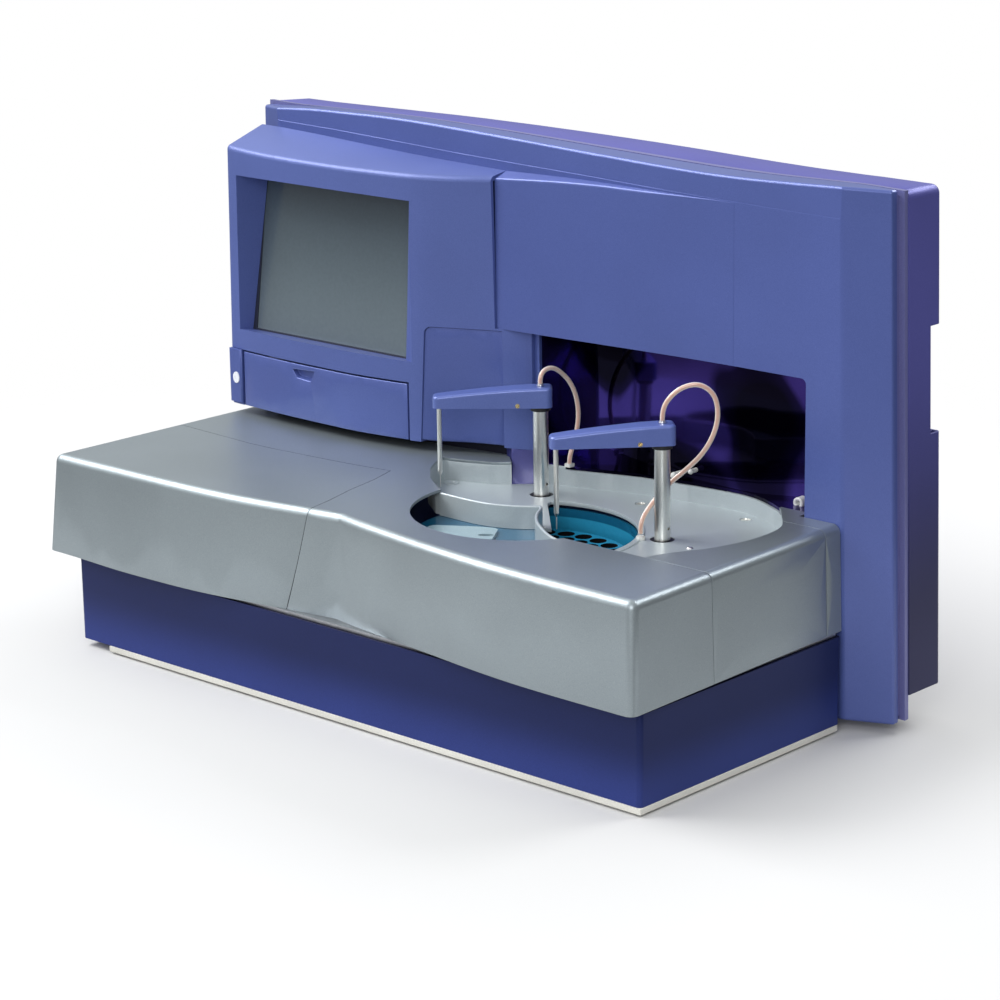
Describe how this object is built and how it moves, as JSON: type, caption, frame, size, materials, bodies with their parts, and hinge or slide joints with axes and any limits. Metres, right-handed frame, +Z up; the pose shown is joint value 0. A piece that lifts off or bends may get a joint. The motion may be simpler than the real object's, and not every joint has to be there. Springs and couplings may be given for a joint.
{
  "type": "chemistry analyzer",
  "caption": "Bench-top clinical chemistry analyzer: blue base and tall rear panel, silver deck with sunken bay, two swinging sampling arms, carousel, touch screen housing and drawer.",
  "frame": {"origin": "on the bench surface under the middle of the machine's bounding box", "axes": "+X to the machine's right as its user sees it, +Y to its back, +Z up"},
  "size_m": [0.8958, 0.421, 0.5543],
  "materials": {
    "blue_base": "satin metallic blue paint",
    "light_plate": "light grey paint",
    "rubber": "matte black rubber",
    "silver_cover": "satin metallic silver paint",
    "teal": "teal translucent plastic",
    "zinc_steel": "zinc plated sheet",
    "blue_panel": "satin metallic blue paint",
    "blue_casing": "satin dark blue paint",
    "rim_plastic": "satin blue",
    "purple_gloss": "glossy dark purple acrylic",
    "button_white": "white moulded plastic",
    "bezel_blue": "satin blue with dark gasket",
    "screen_glass": "dark grey touch glass",
    "dark_module": "black",
    "steel": "turned stainless steel",
    "black_plastic": "black moulded plastic",
    "tube_silicone": "translucent off-white tubing",
    "fitting_white": "white plastic",
    "bottle_white": "natural polyethylene",
    "board_green": "solder mask green",
    "aluminium": "machined"
  },
  "bodies": {
    "root": {"base_cabinet": "blue_base", "base_plate": "light_plate", "rubber_feet": "rubber", "deck_main_cover": "silver_cover", "deck_rear_cover": "silver_cover", "deck_rear_trim": "silver_cover", "arm_bay_tray": "silver_cover", "well_splash_wall": "silver_cover", "well_liner": "teal", "well_cover": "teal", "chassis_frame": "zinc_steel", "drawer_rails": "zinc_steel", "carousel_motor": "zinc_steel", "front_panel": "blue_panel", "monitor_housing": "blue_panel", "housing_side_panel": "blue_panel", "housing_neck": "blue_panel", "power_button_block": "blue_panel", "rear_casing": "blue_casing", "rear_rim": "rim_plastic", "recess_liner": "purple_gloss", "screen_gasket": "bezel_blue", "touch_glass": "screen_glass", "display_module": "dark_module", "power_supply": "dark_module", "fan_housing": "dark_module", "rear_connectors": "dark_module", "lamp_unit": "dark_module", "wash_cup": "steel", "floor_screws": "steel", "column_collars": "black_plastic", "left_arm_tube": "tube_silicone", "right_arm_tube": "tube_silicone", "tube_fittings": "fitting_white", "syringe_pump": "bottle_white", "main_board": "board_green", "left_arm_drive": "aluminium", "right_arm_drive": "aluminium"},
    "deck_flap": {"deck_flap_cover": "silver_cover"},
    "drawer": {"drawer_front": "blue_panel", "drawer_tray": "dark_module"},
    "power_button": {"power_button": "button_white"},
    "carousel": {"reagent_carousel": "teal", "reagent_bottles": "bottle_white"},
    "left_lift": {"left_lift_carriage": "zinc_steel", "left_tube_swivel": "steel"},
    "left_arm": {"left_column": "steel", "left_arm_cover": "blue_panel", "left_arm_chassis": "black_plastic", "left_probe": "steel"},
    "right_lift": {"right_lift_carriage": "zinc_steel", "right_tube_swivel": "steel"},
    "right_arm": {"right_column": "steel", "right_arm_cover": "blue_panel", "right_arm_chassis": "black_plastic", "right_probe": "steel"},
    "fan": {"fan_rotor": "dark_module"},
    "left_plunger": {"left_syringe_plunger": "bottle_white"},
    "right_plunger": {"right_syringe_plunger": "bottle_white"}
  },
  "joints": [
    {"name": "flap_lift", "type": "slide", "parent": "root", "child": "deck_flap", "axis": [0, 0, 1], "range_m": [0, 0.12]},
    {"name": "drawer_slide", "type": "slide", "parent": "root", "child": "drawer", "axis": [0, -1, 0], "range_m": [0, 0.09]},
    {"name": "power_press", "type": "slide", "parent": "root", "child": "power_button", "axis": [0, 1, 0], "range_m": [0, 0.002], "stiffness_N_per_m": 300, "springref_m": -0.003},
    {"name": "carousel_spin", "type": "hinge", "parent": "root", "child": "carousel", "pos_m": [0.1124, -0.03404, 0.1295], "axis": [0, 0, 1], "continuous": true},
    {"name": "left_lift_slide", "type": "slide", "parent": "root", "child": "left_lift", "axis": [0, 0, 1], "range_m": [0, 0.025], "deforming": ["left_arm_tube"]},
    {"name": "left_arm_swing", "type": "hinge", "parent": "left_lift", "child": "left_arm", "pos_m": [0.0314, 0.08196, 0.2735], "axis": [0, 0, 1], "range_deg": [-25, 75]},
    {"name": "right_lift_slide", "type": "slide", "parent": "root", "child": "right_lift", "axis": [0, 0, 1], "range_m": [0, 0.04], "deforming": ["right_arm_tube"]},
    {"name": "right_arm_swing", "type": "hinge", "parent": "right_lift", "child": "right_arm", "pos_m": [0.2354, 0.03346, 0.2785], "axis": [0, 0, 1], "range_deg": [-30, 100]},
    {"name": "fan_spin", "type": "hinge", "parent": "root", "child": "fan", "pos_m": [-0.2546, 0.19396, 0.2085], "axis": [0, 1, 0], "continuous": true},
    {"name": "left_plunger_stroke", "type": "slide", "parent": "root", "child": "left_plunger", "axis": [0, 0, 1], "range_m": [0, 0.02]},
    {"name": "right_plunger_stroke", "type": "slide", "parent": "root", "child": "right_plunger", "axis": [0, 0, 1], "range_m": [0, 0.02]}
  ]
}
